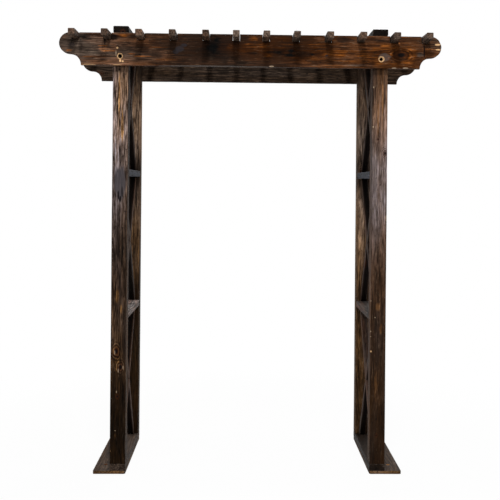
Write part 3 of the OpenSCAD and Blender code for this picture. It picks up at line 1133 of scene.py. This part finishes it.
def build_posts(side, looks, seed):
    """The front and the back post of a side frame."""
    steps = ((BOLT_START, BOLT_R, looks["bore"]), (BOLT_END, BOLT_R, None))
    for number, (end, sign) in enumerate(ENDS):
        node = f"{side}_{end}_post"
        if end == "front":
            look, tone, warm = looks[side + "_post"], POST_TONE[side], POST_WARM[side]
        else:
            look, tone, warm = looks["back_post"], BACK_POST_TONE_AND_SHADE[side], BACK_POST_WARM
        straight_board(node, ALONG_Z, look, 0.005, tone, warm, seed + number, checks=9, chips=7,
                       holes=[bolt_hole(side, end, sign, node, steps)])


def build_plate(side, sign, looks, seed):
    """The base plate of a side frame, with an anchor hole near each end."""
    node = f"{side}_base_plate"
    board = board_in(node, ALONG_Y)
    low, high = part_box(node)
    steps = ((ANCHOR_START, ANCHOR_R, looks[side + "_anchor"]), (ANCHOR_END, ANCHOR_R, None))
    x = (high.x if sign > 0 else low.x) - sign * ANCHOR_FROM_EDGE
    ends = (low.y + ANCHOR_FROM_END, high.y - ANCHOR_FROM_END)
    holes = [((x, y, high.z), (0, 0, -1), steps) for y in ends]
    board.outline = plate_outline(board)
    shaped_board(node, board, PLATE_RIM, looks["plate"], seed, PLATE_TONE[side], PLATE_WARM,
                 chips=8, holes=holes)


def build_flats(side, looks, seed):
    """The sole, the cap and the rails of a side frame."""
    flats = (
        ("sole", "plate_wood", side + "_sole", 0.003, SOLE_TONE[side]),
        ("cap", "weathered_wood", "back_beam", 0.005, even(5)),
        ("lower_rail", "weathered_wood", side + "_rail", 0.003, LOWER_RAIL_TONE[side]),
        ("upper_rail", "weathered_wood", "upper_rail", 0.003, even(37)),
    )
    for number, (part, slot, look, radius, tone) in enumerate(flats):
        straight_board(f"{side}_{part}", ALONG_Y, looks[look], radius, tone, even(10), seed + number,
                       checks=3, chips=4)


def build_rafters(side, looks, seed):
    """The rafters over one half of the walkway, the outermost first."""
    for number, tip in enumerate(RAFTER_TIP[side]):
        straight_board(f"{side}_rafter_{number + 1}", ALONG_Y, looks["rafter"], 0.003,
                       lengthwise((0, 15, 100), (tip, 32, 36)), even(5), seed + number, checks=2, chips=4)


def build_braces(side, sign, looks, seed):
    """The three crosses of a side frame."""
    for number, (bay, (word, slope)) in enumerate((b, s) for b in BAYS for s in SLOPES):
        node = f"{side}_{bay}_brace_{word}"
        tone = RUBBED_BRACE_TONE if node == RUBBED_BRACE else BRACE_STAIN_AND_SHADE_TONE
        brace(node, slope, sign, looks["brace"], seed + number, tone)


def sunk_steps(side, looks):
    """The steps of a countersunk hole: a bare rim, then a near-black ring that widens the hole's dark centre,
    then the bolt's bore.
    """
    dark_r = SINK_DARK_R[side]
    deep = SINK_DEPTH * (SINK_BARE_R - dark_r) / (SINK_BARE_R - BOLT_R)
    return ((SINK_START, SINK_BARE_R, looks["bare"]), (deep, dark_r, looks["bore"]),
            (SINK_DEPTH, BOLT_R, looks["bore"]), (SINK_END, BOLT_R, None))


def build_beam(end, sign, looks):
    """A beam with its noses, notches, bolt holes and two long splits."""
    node = f"{end}_beam"
    board = board_in(node, ALONG_X)
    boxes = [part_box(f"{side}_rafter_{k + 1}") for side in RAFTER_TIP for k in range(len(RAFTER_TIP[side]))]
    board.outline = beam_outline(board, [(low.x, high.x) for low, high in boxes])
    holes = [bolt_hole(side, end, sign, node, sunk_steps(side, looks)) for side, _ in SIDES]
    checks = [
        {"face": sign, "height": 0.012, "gap": 0.0012, "from": 1.3, "to": 1.9, "depth": 0.004},
        {"face": sign, "height": -0.031, "gap": 0.0012, "from": 0.2, "to": 0.75, "depth": 0.004},
    ]
    if end == "front":
        tone, warm, bites = beam_rows(BEAM_TONE), beam_rows(BEAM_WARM), BEAM_BITES
    else:
        tone, warm, bites = BACK_BEAM_TONE, even(20), ()
    shaped_board(node, board, RIM, looks[node], BEAM_SEED + sign, tone, warm,
                 chips=26, holes=holes, checks=checks, bites=bites)


def build():
    """Both side frames with their rafters, and the two beams."""
    looks = build_materials()
    for side, sign in SIDES:
        seed = SIDE_SEED + SIDE_SEED_STEP * sign
        build_posts(side, looks, seed + POST_SEED)
        build_plate(side, sign, looks, seed + PLATE_SEED)
        build_flats(side, looks, seed + FLAT_SEED)
        build_rafters(side, looks, seed + RAFTER_SEED)
        build_braces(side, sign, looks, seed + BRACE_SEED)
    for end, sign in ENDS:
        build_beam(end, sign, looks)


bpy.context.scene.view_settings.view_transform = "Standard"
make_camera()
make_world()
make_lights()
make_floor()
build()
